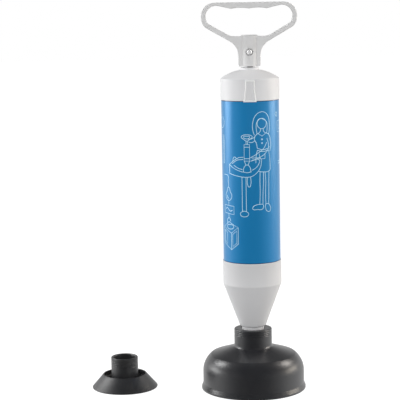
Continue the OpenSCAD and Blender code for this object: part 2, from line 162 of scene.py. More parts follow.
def wire_loop(bm, corners):
    """Closed wire in the XZ plane through (x, z, rounding) corners, each rounded by its radius."""
    points = [Vector((x, 0.0, z)) for x, z, rounding in corners]
    verts = [bm.verts.new(point) for point in points]
    for here, ahead in zip(verts, verts[1:] + verts[:1]):
        bm.edges.new((here, ahead))
    for i, (x, z, rounding) in enumerate(corners):
        if rounding > 0:
            back = (points[i - 1] - points[i]).normalized()
            ahead = (points[(i + 1) % len(points)] - points[i]).normalized()
            half = back.angle(ahead) / 2
            centre = points[i] + (back + ahead).normalized() * rounding / math.sin(half)
            steps = 12 if rounding > 0.005 else 6 if rounding > 0.001 else 3
            cut = bmesh.ops.bevel(bm, geom=[verts[i]], offset=rounding / math.tan(half),
                                  offset_type="OFFSET", affect="VERTICES", segments=steps,
                                  profile=0.5, material=-1)
            for v in cut["verts"]:
                v.co = centre + (v.co - centre).normalized() * rounding


def into_piece(bm, name, material, crease=35.0):
    """Object from a bmesh, smooth but for the edges sharper than the crease."""
    mesh = bpy.data.meshes.new(name)
    bm.to_mesh(mesh)
    bm.free()
    mesh.shade_smooth()
    mesh.set_sharp_from_angle(angle=math.radians(crease))
    mesh.materials.append(material)
    piece = bpy.data.objects.new(name, mesh)
    bpy.context.scene.collection.objects.link(piece)
    return piece


def spun(bm, centre=(0.0, 0.0)):
    """Spins the wire in a bmesh a full turn about the upright axis and moves it to its centre."""
    bmesh.ops.spin(bm, geom=bm.verts[:] + bm.edges[:], axis=(0, 0, 1), cent=(0, 0, 0),
                   steps=FULL_TURN, angle=math.tau, use_merge=True)
    bmesh.ops.remove_doubles(bm, verts=bm.verts, dist=0.000001)
    bmesh.ops.dissolve_degenerate(bm, dist=0.0000005, edges=bm.edges)
    bmesh.ops.recalc_face_normals(bm, faces=bm.faces)
    bmesh.ops.translate(bm, verts=bm.verts, vec=(centre[0], centre[1], 0.0))


white_plastic = finish("white plastic", skin, specular=0.45, Light=(0.775, 0.775, 0.785, 1),
                       Dark=(0.735, 0.738, 0.750, 1), Grain=1100.0, Roughness=0.34, Spread=0.1,
                       Depth=0.00008)
low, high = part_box("nozzle_cone")
tip_z = low.z + 0.0275
collar_z = tip_z + 0.059
bm = bmesh.new()
wire_loop(bm, [
    (0.0115, low.z, 0.0003), (0.0150, low.z, 0.0010), (0.0150, tip_z, 0.0004),
    (0.0173, tip_z, 0.0030), (high.x, collar_z, 0.0030), (high.x, high.z - 0.0016, 0.0),
    (high.x + 0.00015, high.z - 0.0012, 0.0002), (high.x + 0.00015, high.z, 0.0004),
    (0.0379, high.z, 0.0003), (0.03705, high.z - 0.0008, 0.0), (0.03705, collar_z + 0.0034, 0.0003),
    (0.03455, collar_z + 0.0034, 0.0002), (0.03455, collar_z - 0.0037, 0.0040),
    (0.0153, tip_z + 0.0030, 0.0040), (0.0115, tip_z + 0.0030, 0.0010),
])
spun(bm)
nozzle = into_piece(bm, "nozzle_cone_moulding", white_plastic)
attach(nozzle, "barrel")
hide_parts("nozzle_cone")

# The film: a printed sleeve of thin blue plastic, wrapped round the tube.
# Its ends overlap at the back, and the darker line along its top and bottom edges is painted shade where the
# film meets the cap and the collar.
printed, given, made = new_surface("printed film", Light=white, Dark=white, Grain=900.0,
                                   Roughness=0.4, Spread=0.1, Depth=0.0001, Bottom=0.0, Top=1.0)
along = printed.nodes.new("ShaderNodeSeparateXYZ")
printed.links.new(given["Vector"], along.inputs["Vector"])
height = along.outputs["Z"]
from_edge = reckon(printed, "MINIMUM", reckon(printed, "SUBTRACT", height, given["Bottom"]),
                   reckon(printed, "SUBTRACT", given["Top"], height))
# Painted shade: within this distance of the film's top and bottom edges its colour goes to the dark tone.
EDGE_SHADE_WIDTH = 0.0009
edge_shade_mask = reckon(printed, "LESS_THAN", from_edge, EDGE_SHADE_WIDTH)
fine = noise(printed, given["Vector"], given["Grain"], 3.0)
ripple = noise(printed, given["Vector"], 22.0, 2.0)
printed.links.new(blended(printed, edge_shade_mask, given["Light"], given["Dark"]), made["Colour"])
printed.links.new(reckon(printed, "MULTIPLY_ADD", fine, given["Spread"], given["Roughness"]),
                  made["Roughness"])
relief(printed, reckon(printed, "ADD", ripple, reckon(printed, "MULTIPLY", fine, 0.1)),
       given["Depth"], made["Normal"])

low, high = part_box("label")
film_low, film_high, film_r = low.z, high.z, high.x
# The Dark colour is the painted shade along the film's edges; Light is the film's own blue.
film_print = finish("blue film", printed, metallic=0.12, specular=0.5, Light=(0.008, 0.228, 0.530, 1),
                    Dark=(0.001, 0.045, 0.140, 1), Grain=1600.0, Roughness=0.25, Spread=0.08,
                    Depth=0.0002, Bottom=film_low, Top=film_high)
bm = bmesh.new()
wire_loop(bm, [(film_r, film_low, 0), (film_r, film_high, 0),
               (film_r - 0.0003, film_high, 0), (film_r - 0.0003, film_low, 0)])
spun(bm)
film = into_piece(bm, "label_film", film_print)
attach(film, "barrel")
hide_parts("label")

bm = bmesh.new()
wire_loop(bm, [(film_r - 0.00005, film_low + 0.0004, 0), (film_r + 0.00012, film_low + 0.0004, 0),
               (film_r + 0.00012, film_high - 0.0004, 0), (film_r - 0.00005, film_high - 0.0004, 0)])
bmesh.ops.edgeloop_fill(bm, edges=bm.edges[:])
bmesh.ops.rotate(bm, verts=bm.verts, cent=(0, 0, 0), matrix=Matrix.Rotation(math.radians(97), 3, "Z"))
bmesh.ops.spin(bm, geom=bm.verts[:] + bm.edges[:] + bm.faces[:], axis=(0, 0, 1), cent=(0, 0, 0),
               steps=8, angle=math.radians(14), use_merge=False)
bmesh.ops.remove_doubles(bm, verts=bm.verts, dist=0.000001)
bmesh.ops.recalc_face_normals(bm, faces=bm.faces)
overlap = into_piece(bm, "label_overlap", film_print)
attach(overlap, "barrel")

# The print: pale line pictograms on the film, which show how the pump is used.
# A plain figure works a small pump over a basin, with other signs beside and behind.
ink = finish("pale ink", skin, specular=0.4, Light=(0.60, 0.86, 0.98, 1), Dark=(0.52, 0.80, 0.95, 1),
             Grain=2500.0, Roughness=0.38, Spread=0.1, Depth=0.00003)
INK_WIDTH = 0.00074
INK_PROUD = 0.00007

figure = [
    ("ring", [(15.4, 192.2), (20.6, 189.6), (21.8, 184.6), (19.4, 180.2), (15.4, 178.6), (11.4, 180.2),
              (9.0, 184.6), (10.2, 189.6)]),
    ("curve", [(5.0, 170.6), (3.0, 178.0), (3.2, 187.0), (6.4, 195.4), (12.0, 200.0), (18.4, 200.4),
               (24.0, 196.0), (26.6, 188.0), (26.8, 178.0), (25.6, 170.8)]),
    ("curve", [(8.8, 172.0), (7.6, 180.0), (8.6, 187.4), (13.0, 192.0), (18.0, 190.6), (22.4, 187.2),
               (23.2, 180.0), (22.4, 172.4)]),
    ("line", [(13.6, 178.8), (13.2, 175.6), (10.4, 172.2), (15.4, 169.0), (20.4, 172.2), (17.6, 175.6),
              (17.2, 178.8)]),
    ("curve", [(10.6, 173.2), (7.0, 170.4), (5.0, 165.6), (7.6, 160.0), (8.8, 153.4)]),
    ("curve", [(20.2, 173.4), (25.4, 171.0), (28.2, 164.0), (29.0, 156.0), (27.2, 148.6)]),
    ("curve", [(22.6, 166.0), (24.6, 160.0), (25.4, 152.8)]),
    ("curve", [(8.8, 153.4), (16.0, 151.2), (25.4, 152.8)]),
    ("curve", [(8.8, 150.8), (16.0, 148.8), (25.2, 150.4)]),
    ("ring", [(15.4, 165.6), (16.2, 164.8), (15.4, 164.0), (14.6, 164.8)]),
    ("ring", [(15.4, 160.6), (16.2, 159.8), (15.4, 159.0), (14.6, 159.8)]),
    ("curve", [(6.4, 169.2), (2.4, 166.2), (-1.0, 165.4), (-3.4, 165.6)]),
    ("curve", [(6.2, 163.6), (3.0, 161.6), (0.0, 161.0), (-2.6, 162.0)]),
    ("curve", [(22.4, 160.8), (17.4, 152.6), (10.4, 147.4), (3.4, 143.2), (-1.6, 140.6)]),
    ("curve", [(26.6, 155.0), (20.4, 146.6), (13.0, 141.8), (6.0, 138.6), (-0.4, 136.6)]),
    ("line", [(11.6, 146.0), (11.6, 139.4), (19.4, 139.4), (19.4, 146.4)]),
    ("curve", [(8.8, 150.8), (7.0, 142.0), (6.6, 134.0)]),
    ("curve", [(25.2, 150.4), (27.0, 140.0), (27.4, 130.0), (26.6, 123.6), (17.0, 122.0), (10.0, 123.0)]),
    ("curve", [(12.2, 122.6), (11.8, 110.0), (12.0, 95.0), (11.2, 79.6)]),
    ("curve", [(17.0, 121.8), (16.8, 108.0), (16.0, 95.0), (15.6, 79.6)]),
    ("curve", [(19.4, 121.8), (20.2, 108.0), (19.6, 95.0), (20.0, 79.6)]),
    ("curve", [(25.4, 122.8), (25.0, 108.0), (24.8, 95.0), (24.4, 79.6)]),
    ("ring", [(11.0, 79.4), (6.6, 78.8), (2.4, 76.4), (1.8, 73.6), (8.0, 72.8), (15.4, 73.4),
              (15.8, 78.8)]),
    ("ring", [(20.0, 79.2), (19.6, 74.0), (21.6, 70.2), (25.4, 69.2), (27.6, 72.4), (26.4, 77.0),
              (24.2, 79.4)]),
]
small_pump = [
    ("ring", [(-12.2, 168.4), (-9.2, 170.8), (-5.0, 171.2), (-0.8, 170.8), (2.2, 168.4), (-0.6, 165.6),
              (-5.0, 163.0), (-9.4, 165.6)]),
    ("ring", [(-9.0, 168.6), (-5.0, 169.2), (-1.0, 168.6), (-5.0, 165.8)]),
    ("line", [(-5.9, 163.2), (-5.9, 158.4)]),
    ("line", [(-4.1, 163.2), (-4.1, 158.4)]),
    ("loop", [(-8.6, 158.4), (-1.4, 158.4), (-1.4, 136.8), (-8.6, 136.8)]),
    ("line", [(-8.6, 155.0), (-1.4, 155.0)]),
    ("line", [(-8.6, 140.0), (-1.4, 140.0)]),
    ("line", [(-8.4, 136.8), (-6.6, 131.6)]),
    ("line", [(-1.6, 136.8), (-3.4, 131.6)]),
    ("curve", [(-10.0, 123.0), (-9.4, 127.4), (-7.4, 130.6), (-5.0, 131.8), (-2.6, 130.6), (-0.6, 127.4),
               (0.0, 123.0)]),
    ("curve", [(-10.8, 122.8), (-5.0, 121.6), (0.8, 122.8)]),
]
basin = [
    ("line", [(-9.4, 142.0), (-16.0, 141.4), (-24.0, 137.0), (-31.2, 131.6), (-31.2, 119.6)]),
    ("curve", [(-31.2, 131.6), (-25.0, 127.4), (-16.0, 123.8), (-10.8, 122.2)]),
    ("curve", [(-31.2, 119.6), (-20.0, 117.2), (-8.0, 115.6), (1.0, 116.6), (7.6, 121.0), (12.6, 128.0),
               (14.6, 137.6)]),
    ("line", [(1.2, 140.8), (12.8, 140.8), (14.6, 137.6)]),
    ("curve", [(1.4, 138.0), (11.4, 137.8), (10.4, 132.6), (6.4, 127.6), (1.4, 124.6)]),
    ("curve", [(-26.6, 132.6), (-19.0, 137.6), (-10.0, 139.0)]),
    ("curve", [(-24.0, 131.0), (-17.0, 127.2), (-11.0, 125.6)]),
    ("curve", [(-25.0, 134.6), (-24.6, 139.8), (-21.8, 141.8), (-19.6, 139.6)]),
    ("line", [(-12.0, 115.8), (-12.0, 69.6)]),
    ("line", [(-6.6, 115.4), (-6.6, 69.6)]),
    ("ring", [(-15.0, 66.6), (-12.6, 69.8), (-9.3, 70.6), (-6.0, 69.8), (-3.6, 66.6), (-9.3, 63.2)]),
    ("curve", [(-4.6, 115.4), (-4.6, 106.0), (-2.4, 102.6), (-0.4, 106.0), (-0.4, 115.6)]),
]
side_signs = [
    ("line", [(-43.4, 170.0), (-43.4, 132.0)]),
    ("line", [(-45.2, 170.0), (-45.2, 132.0)]),
    ("curve", [(-47.0, 193.6), (-43.2, 189.4), (-43.0, 184.0), (-47.0, 179.4), (-53.0, 180.0),
               (-56.0, 186.0), (-53.4, 192.4)]),
    ("line", [(-55.6, 195.8), (-53.0, 192.0), (-57.4, 191.0)]),
    ("line", [(-44.0, 117.6), (-36.0, 117.4), (-34.0, 115.0), (-34.0, 101.0)]),
    ("ring", [(-34.0, 101.4), (-37.2, 95.6), (-40.0, 90.6), (-38.4, 85.6), (-34.0, 83.6), (-29.6, 85.6),
              (-28.0, 90.6), (-30.8, 95.6)]),
    ("curve", [(-36.8, 90.6), (-36.2, 87.6), (-33.8, 86.4)]),
    ("line", [(-34.0, 83.6), (-34.0, 77.4)]),
    ("loop", [(-43.0, 77.4), (-24.6, 76.4), (-24.6, 65.4), (-43.0, 66.8)]),
    ("curve", [(-40.4, 72.0), (-37.4, 73.8), (-34.0, 71.4), (-30.6, 69.6), (-27.2, 71.2)]),
    ("line", [(-34.0, 66.0), (-34.0, 60.4)]),
    ("loop", [(-46.0, 47.6), (-34.0, 55.4), (-18.4, 48.4), (-29.6, 40.2)]),
    ("line", [(-46.0, 47.6), (-46.0, 27.4), (-29.6, 18.0), (-18.4, 26.6), (-18.4, 48.4)]),
    ("line", [(-29.6, 40.2), (-29.6, 18.0)]),
    ("line", [(-43.6, 43.6), (-43.6, 29.0), (-37.8, 25.6), (-37.8, 40.4), (-43.6, 43.6)]),
    ("line", [(-27.4, 38.8), (-27.4, 22.4), (-20.6, 27.8), (-20.6, 43.8), (-27.4, 38.8)]),
    ("ring", [(-38.0, 49.0), (-32.0, 51.6), (-25.4, 49.2), (-31.0, 45.6)]),
    ("curve", [(-37.0, 52.0), (-37.0, 58.6), (-33.0, 60.4), (-30.6, 56.0)]),
    ("loop", [(44.0, 187.0), (58.0, 187.4), (58.0, 172.4), (44.0, 172.8)]),
    ("line", [(48.0, 183.0), (48.0, 176.6), (54.0, 176.6)]),
    ("ring", [(41.6, 199.0), (43.8, 196.4), (42.6, 193.4), (40.2, 194.6), (39.6, 197.4)]),
    ("line", [(46.0, 134.0), (56.0, 134.0)]),
    ("line", [(46.0, 131.0), (56.0, 131.0)]),
]
back_signs = [
    ("loop", [(94.0, 186.0), (126.0, 186.0), (126.0, 146.0), (94.0, 146.0)]),
    ("loop", [(94.0, 138.0), (126.0, 138.0), (126.0, 98.0), (94.0, 98.0)]),
    ("loop", [(94.0, 90.0), (126.0, 90.0), (126.0, 50.0), (94.0, 50.0)]),
    ("curve", [(101.0, 153.0), (103.0, 161.0), (110.0, 164.0), (117.0, 161.0), (119.0, 153.0)]),
    ("line", [(106.4, 164.0), (106.4, 180.0), (113.6, 180.0), (113.6, 164.0)]),
    ("line", [(98.0, 151.0), (122.0, 151.0)]),
    ("line", [(110.0, 104.0), (110.0, 131.0)]),
    ("line", [(104.0, 124.0), (110.0, 131.0), (116.0, 124.0)]),
    ("line", [(110.0, 84.0), (110.0, 57.0)]),
    ("line", [(104.0, 64.0), (110.0, 57.0), (116.0, 64.0)]),
]


def wrapped(bm, radius):
    """Bends a flat bmesh in the XZ plane round the upright axis, X along the circle from the front."""
    for v in bm.verts:
        around = v.co.x / radius
        out = radius - v.co.y
        v.co = Vector((out * math.sin(around), -out * math.cos(around), v.co.z))


drawing = bpy.data.curves.new("pen strokes", "CURVE")
drawing.dimensions = "3D"
drawing.resolution_u = 5
drawing.bevel_depth = INK_WIDTH / 2
drawing.bevel_resolution = 0
drawing.use_fill_caps = True
for kind, points in figure + small_pump + basin + side_signs + back_signs:
    stroke = drawing.splines.new("BEZIER")
    stroke.bezier_points.add(len(points) - 1)
    stroke.use_cyclic_u = kind in ("ring", "loop")
    for knot, (x, z) in zip(stroke.bezier_points, points):
        knot.co = (x / 1000, 0.0, z / 1000)
        turn = "VECTOR" if kind in ("line", "loop") else "AUTO"
        knot.handle_left_type = turn
        knot.handle_right_type = turn
pen = bpy.data.objects.new("pen", drawing)
bpy.context.scene.collection.objects.link(pen)
bpy.context.view_layer.update()
strokes = bpy.data.meshes.new_from_object(pen.evaluated_get(bpy.context.evaluated_depsgraph_get()))
bpy.data.objects.remove(pen)
bm = bmesh.new()
bm.from_mesh(strokes)
bmesh.ops.scale(bm, verts=bm.verts, vec=(1.0, 2 * INK_PROUD / INK_WIDTH, 1.0))
for halving in range(5):
    across = [e for e in bm.edges if abs(e.verts[0].co.x - e.verts[1].co.x) > 0.002]
    if across:
        bmesh.ops.subdivide_edges(bm, edges=across, cuts=1, use_grid_fill=True)
wrapped(bm, film_r)
bmesh.ops.translate(bm, verts=bm.verts, vec=(0, 0, film_low - 0.0002))
bmesh.ops.recalc_face_normals(bm, faces=bm.faces)
pictograms = into_piece(bm, "label_pictograms", ink, crease=80.0)
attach(pictograms, "barrel")

# The cap: a white domed moulding whose skirt goes over the top of the tube.
# Its middle is a boss with the rod's guide; latch tongues hold it at front and back.
low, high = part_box("top_cap")
skirt_r = high.x
skirt_low = low.z + 0.0015
shoulder_z = skirt_low + 0.028
boss_z = high.z
roof_z = boss_z - 0.0019
guide_z = boss_z - 0.0295
bm = bmesh.new()
wire_loop(bm, [
    (skirt_r - 0.0009, skirt_low, 0.0003), (skirt_r + 0.00015, skirt_low, 0.0004),
    (skirt_r + 0.00015, skirt_low + 0.0012, 0.0002), (skirt_r, skirt_low + 0.0016, 0.0),
    (skirt_r, shoulder_z, 0.0012), (0.02693, shoulder_z + 0.00832, 0.0600), (0.0125, roof_z - 0.0011, 0.0006),
    (0.0125, boss_z, 0.0007), (0.0071, boss_z, 0.0004), (0.0071, boss_z - 0.0020, 0),
    (0.00901, boss_z - 0.0020, 0), (0.00901, guide_z, 0), (0.01215, guide_z, 0),
    (0.0152, guide_z, 0.0005), (0.0152, roof_z - 0.0050, 0.0010),
    (0.0260, roof_z - 0.0079, 0.0300), (0.0350, roof_z - 0.0126, 0.0004), (0.0350, shoulder_z - 0.0090, 0),
    (0.03705, shoulder_z - 0.0090, 0), (0.03705, skirt_low + 0.0006, 0),
])
spun(bm)
cap = into_piece(bm, "top_cap_moulding", white_plastic, crease=30.0)
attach(cap, "barrel")
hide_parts("top_cap")

# Painted highlight: the tongue's rounded rim gets a whiter, glossier white than the cap, standing for the
# side light its flanks catch.
rib_painted_highlight = finish("rib white with painted highlight", skin, specular=1.0, Light=(0.95, 0.95, 0.95, 1),
                   Dark=(0.93, 0.93, 0.93, 1), Grain=1100.0, Roughness=0.20, Spread=0.08, Depth=0.00004)
TONGUE_PROUD = 0.0011
for name, facing in (("front_latch", 0.0), ("back_latch", 180.0)):
    bm = bmesh.new()
    wire_loop(bm, [
        (0.0064, shoulder_z - 0.0012, 0), (0.0066, shoulder_z - 0.0125, 0.0200),
        (0.00885, low.z, 0), (-0.00885, low.z, 0),
        (-0.0066, shoulder_z - 0.0125, 0.0200), (-0.0064, shoulder_z - 0.0012, 0),
    ])
    bmesh.ops.edgeloop_fill(bm, edges=bm.edges[:])
    bmesh.ops.recalc_face_normals(bm, faces=bm.faces)
    if bm.faces[:][0].normal.y > 0:
        bmesh.ops.reverse_faces(bm, faces=bm.faces[:])
    walls = bmesh.ops.extrude_edge_only(bm, edges=bm.edges[:])
    sides = [v for v in walls["geom"] if isinstance(v, bmesh.types.BMVert)]
    bmesh.ops.translate(bm, verts=sides, vec=(0, TONGUE_PROUD + 0.0006, 0))
    face = max(bm.faces, key=lambda f: f.calc_area())
    rim_edges = list(face.edges)
    bmesh.ops.bevel(bm, geom=rim_edges, offset=0.0011, offset_type="OFFSET", affect="EDGES",
                    segments=4, profile=0.5, material=-1)
    for run, fall in ((0.0002, 0.0), (0.0004, 0.0001), (0.0003, 0.0003), (0.0001, 0.0005)):
        face = max(bm.faces, key=lambda f: f.calc_area())
        bmesh.ops.inset_region(bm, faces=[face], thickness=run, depth=-fall, use_even_offset=True)
    panel = max(bm.faces, key=lambda f: f.calc_area())
    # The flat panel keeps the cap's white; the rim takes the painted highlight white.
    for face in bm.faces:
        face.material_index = 0 if face == panel else 1
    bmesh.ops.holes_fill(bm, edges=[e for e in bm.edges if e.is_boundary], sides=0)
    for step in range(-5, 6):
        everything = bm.verts[:] + bm.edges[:] + bm.faces[:]
        bmesh.ops.bisect_plane(bm, geom=everything, dist=0.000001, plane_co=(step * 0.0016, 0, 0),
                               plane_no=(1, 0, 0))
    bmesh.ops.recalc_face_normals(bm, faces=bm.faces)
    wrapped(bm, skirt_r + TONGUE_PROUD)
    turn = Matrix.Rotation(math.radians(facing), 3, "Z")
    bmesh.ops.rotate(bm, verts=bm.verts, cent=(0, 0, 0), matrix=turn)
    latch = into_piece(bm, name, white_plastic)
    latch.data.materials.append(rib_painted_highlight)
    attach(latch, "barrel")

# The rod's guide: a flanged bronze bush, a felt wiper over it and a rubber stop under it.
# The bush and the wiper are pressed into the cap's boss; the stop is pushed in from below.
turned, given, made = new_surface("turned metal", Light=white, Dark=white, Pitch=2500.0,
                                  Roughness=0.3, Spread=0.1, Depth=0.00003)
parted = turned.nodes.new("ShaderNodeSeparateXYZ")
turned.links.new(given["Vector"], parted.inputs["Vector"])
out_x = reckon(turned, "MULTIPLY", parted.outputs["X"], parted.outputs["X"])
out_y = reckon(turned, "MULTIPLY", parted.outputs["Y"], parted.outputs["Y"])
reach = reckon(turned, "SQRT", reckon(turned, "ADD", out_x, out_y))
travel = reckon(turned, "ADD", reach, parted.outputs["Z"])
marks = turned.nodes.new("ShaderNodeTexNoise")
marks.noise_dimensions = "1D"
marks.inputs["Scale"].default_value = 1.0
marks.inputs["Detail"].default_value = 3.0
turned.links.new(reckon(turned, "MULTIPLY", travel, given["Pitch"]), marks.inputs["W"])
lines = marks.outputs["Fac"]
turned.links.new(blended(turned, lines, given["Dark"], given["Light"]), made["Colour"])
turned.links.new(reckon(turned, "MULTIPLY_ADD", lines, given["Spread"], given["Roughness"]),
                 made["Roughness"])
relief(turned, lines, given["Depth"], made["Normal"])

bronze = finish("bush bronze", turned, metallic=1.0, Light=(0.56, 0.38, 0.17, 1),
                Dark=(0.44, 0.28, 0.11, 1), Roughness=0.30, Spread=0.2)
felt = finish("wiper felt", skin, specular=0.2, Light=(0.23, 0.22, 0.20, 1), Dark=(0.13, 0.125, 0.12, 1),
              Grain=3000.0, Roughness=0.85, Spread=0.1, Depth=0.0006)
dress("rod_bush", bronze)
dress("rod_wiper", felt)
dress("stop_buffer", black_rubber)

# The piston: two rubber seals on a grooved plastic core, clamped by turned plates.
# It turns on the journal at the rod's lower end and slides in the tube.
aluminium = finish("turned aluminium", turned, metallic=1.0, Light=(0.70, 0.70, 0.71, 1),
                   Dark=(0.58, 0.58, 0.60, 1), Roughness=0.24, Spread=0.2)
core_plastic = finish("core plastic", skin, Light=(0.58, 0.58, 0.56, 1), Dark=(0.50, 0.50, 0.48, 1),
                      Grain=900.0, Roughness=0.45, Spread=0.1, Depth=0.0001)
dress("piston_upper_plate", aluminium)
dress("piston_lower_plate", aluminium)
dress("piston_upper_seal", black_rubber)
dress("piston_lower_seal", black_rubber)
dress("piston_core", core_plastic)

# The rod: a polished steel tube with a turned plug pinned in its lower end.
# The bolt and its washers keep the piston on; a second plug takes the cross screw.
polished = finish("polished steel", turned, metallic=1.0, Light=(0.66, 0.66, 0.67, 1),
                  Dark=(0.58, 0.58, 0.60, 1), Pitch=1800.0, Roughness=0.14, Spread=0.12, Depth=0.00001)
turned_steel = finish("turned steel", turned, metallic=1.0, Light=(0.56, 0.56, 0.57, 1),
                      Dark=(0.44, 0.44, 0.45, 1), Roughness=0.26, Spread=0.2)
zinc = finish("zinc plate", skin, metallic=1.0, Light=(0.62, 0.63, 0.64, 1), Dark=(0.50, 0.51, 0.54, 1),
              Grain=1500.0, Roughness=0.30, Spread=0.2, Depth=0.00005)
dress("rod_end_plug", turned_steel)
dress("plug_pin", turned_steel)
dress("rod_top_plug", aluminium)
dress("end_washer", zinc)
dress("spring_washer", zinc)
dress("end_bolt", zinc)
low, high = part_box("piston_rod")
bm = bmesh.new()
wire_loop(bm, [(high.x, low.z, 0.0003), (high.x, high.z, 0.0004), (high.x - 0.0012, high.z, 0.0002),
               (high.x - 0.0012, low.z, 0.0002)])
spun(bm)
rod = into_piece(bm, "piston_rod_tube", polished)
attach(rod, "rod")
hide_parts("piston_rod")

# The handle: grip, arms, hub and socket in one grey moulding.
# The rod enters the socket from below; the cross screw goes through both.
grip_skin, given, made = new_surface("moulding with parting line", Light=white, Dark=white,
                                     Grain=900.0, Roughness=0.4, Spread=0.1, Depth=0.0001)
fine = noise(grip_skin, given["Vector"], given["Grain"], 4.0)
drift = noise(grip_skin, given["Vector"], 20.0, 2.0)
parts = grip_skin.nodes.new("ShaderNodeSeparateXYZ")
grip_skin.links.new(given["Vector"], parts.inputs["Vector"])
seam = reckon(grip_skin, "COMPARE", parts.outputs["Y"], 0.0, 0.00012)
grip_skin.links.new(blended(grip_skin, drift, given["Dark"], given["Light"]), made["Colour"])
grip_skin.links.new(reckon(grip_skin, "MULTIPLY_ADD", fine, given["Spread"], given["Roughness"]),
                    made["Roughness"])
relief(grip_skin, reckon(grip_skin, "ADD", fine, reckon(grip_skin, "MULTIPLY", seam, 3.0)),
       given["Depth"], made["Normal"])
grip_plastic = finish("handle plastic", grip_skin, specular=0.4, Light=(0.745, 0.745, 0.745, 1),
                      Dark=(0.705, 0.705, 0.705, 1), Grain=1300.0, Roughness=0.44, Spread=0.12,
                      Depth=0.00002)

low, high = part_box("handle")
foot = low.z
socket_r = high.y
grip_depth = 0.012
edge_round = 0.0012
half_grip = [
    (0.0, 0.0838, 0), (0.066843, 0.0838, 0.018), (0.061250, 0.053618, 0.014), (0.0147, 0.026743, 0.022),
    (0.0147, 0.0, 0.0018), (0.0, 0.0, 0), (0.0, 0.0395, 0), (0.02440, 0.0395, 0.016),
    (0.055693, 0.057569, 0.0078), (0.060615, 0.084035, 0.0138), (0.0232, 0.0753, 0.003),
    (0.0116, 0.07752, 0.056), (0.0, 0.0753, 0),
]
bm = bmesh.new()
wire_loop(bm, half_grip)
bmesh.ops.remove_doubles(bm, verts=bm.verts, dist=0.000001)
bmesh.ops.edgeloop_fill(bm, edges=bm.edges[:])
bmesh.ops.mirror(bm, geom=bm.verts[:] + bm.edges[:] + bm.faces[:], axis="X", merge_dist=0.000005)
bmesh.ops.recalc_face_normals(bm, faces=bm.faces)
bmesh.ops.solidify(bm, geom=bm.faces[:], thickness=grip_depth)
middle = sum((v.co.y for v in bm.verts), 0.0) / len(bm.verts)
bmesh.ops.translate(bm, verts=bm.verts, vec=(0, -middle, foot))
bmesh.ops.recalc_face_normals(bm, faces=bm.faces)
rims = [e for e in bm.edges if e.calc_face_angle(0.0) > math.radians(70)]
bmesh.ops.bevel(bm, geom=rims, offset=edge_round, offset_type="OFFSET", affect="EDGES",
                segments=3, profile=0.5, material=-1)
grip = into_piece(bm, "handle_moulding", grip_plastic)


def joined(piece, tool, operation):
    """Adds or cuts a tool's shape, then throws the tool away."""
    step = piece.modifiers.new("shape", "BOOLEAN")
    step.operation = operation
    step.solver = "EXACT"
    step.object = tool
    bpy.context.view_layer.update()
    shaped = piece.evaluated_get(bpy.context.evaluated_depsgraph_get())
    mesh = bpy.data.meshes.new_from_object(shaped)
    piece.modifiers.clear()
    piece.data = mesh
    bpy.data.objects.remove(tool)


def peg(radius, start, end, height, sides=48):
    """Tool for a round or hexagonal hole along Y, from one depth to another."""
    bm = bmesh.new()
    ends = bmesh.ops.create_circle(bm, cap_ends=True, segments=sides, radius=radius)["verts"]
    bmesh.ops.rotate(bm, verts=ends, cent=(0, 0, 0), matrix=Matrix.Rotation(math.radians(90), 3, "X"))
    bmesh.ops.translate(bm, verts=ends, vec=(0, start, height))
    pushed = bmesh.ops.extrude_face_region(bm, geom=bm.faces[:])["geom"]
    far = [v for v in pushed if isinstance(v, bmesh.types.BMVert)]
    bmesh.ops.translate(bm, verts=far, vec=(0, end - start, 0))
    bmesh.ops.recalc_face_normals(bm, faces=bm.faces)
    return into_piece(bm, "peg", grip_plastic)


socket_top = foot + 0.0411
bm = bmesh.new()
wire_loop(bm, [(0.0, foot, 0), (socket_r, foot, 0.0010), (socket_r, socket_top, 0.0012),
               (0.0, socket_top, 0)])
spun(bm)
joined(grip, into_piece(bm, "socket", grip_plastic), "UNION")
bm = bmesh.new()
wire_loop(bm, [(0.0, foot - 0.002, 0), (0.00655, foot - 0.002, 0), (0.00655, foot + 0.0339, 0),
               (0.0, foot + 0.0339, 0)])
spun(bm)
joined(grip, into_piece(bm, "rod hole", grip_plastic), "DIFFERENCE")
screw_z = foot + 0.0188
head_seat = socket_r - 0.0032
past = socket_r + 0.001
joined(grip, peg(0.0050, -past, -head_seat, screw_z), "DIFFERENCE")
joined(grip, peg(0.00215, -past, past, screw_z), "DIFFERENCE")
joined(grip, peg(0.00409, 0.0070, past, screw_z, sides=6), "DIFFERENCE")
grip.data.shade_smooth()
grip.data.set_sharp_from_angle(angle=math.radians(35))
even = grip.modifiers.new("even shading", "WEIGHTED_NORMAL")
even.keep_sharp = True
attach(grip, "rod")
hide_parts("handle")

# The cross screw: chromed steel with a domed head and a cross recess.
# It sits in a counterbore at the front of the socket, with a narrow gap all round.
# Painted reflection: the screw gets a near-white, mostly non-metal finish that stands for its chrome head's
# bright reflection, not a chrome mirror.
screw_white_painted_reflection = finish("screw chrome with painted reflection", turned, metallic=0.2, specular=1.0, Light=(0.98, 0.98, 0.98, 1),
                Dark=(0.95, 0.95, 0.96, 1), Roughness=0.18, Spread=0.1, Depth=0.00001)
low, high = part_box("handle_screw")
head_top = -low.y
bm = bmesh.new()
wire_loop(bm, [(0.0, head_top, 0), (0.0031, head_top, 0.0016), (0.0041, head_seat, 0.0003),
               (0.0020, head_seat, 0), (0.0020, -high.y, 0.0004), (0.0, -high.y, 0)])
spun(bm)
bmesh.ops.rotate(bm, verts=bm.verts, cent=(0, 0, 0), matrix=Matrix.Rotation(math.radians(90), 3, "X"))
bmesh.ops.translate(bm, verts=bm.verts, vec=(0, 0, screw_z))
screw = into_piece(bm, "cross_screw", screw_white_painted_reflection)
BLADE = (0.0008, 0.0020, 0.0040)
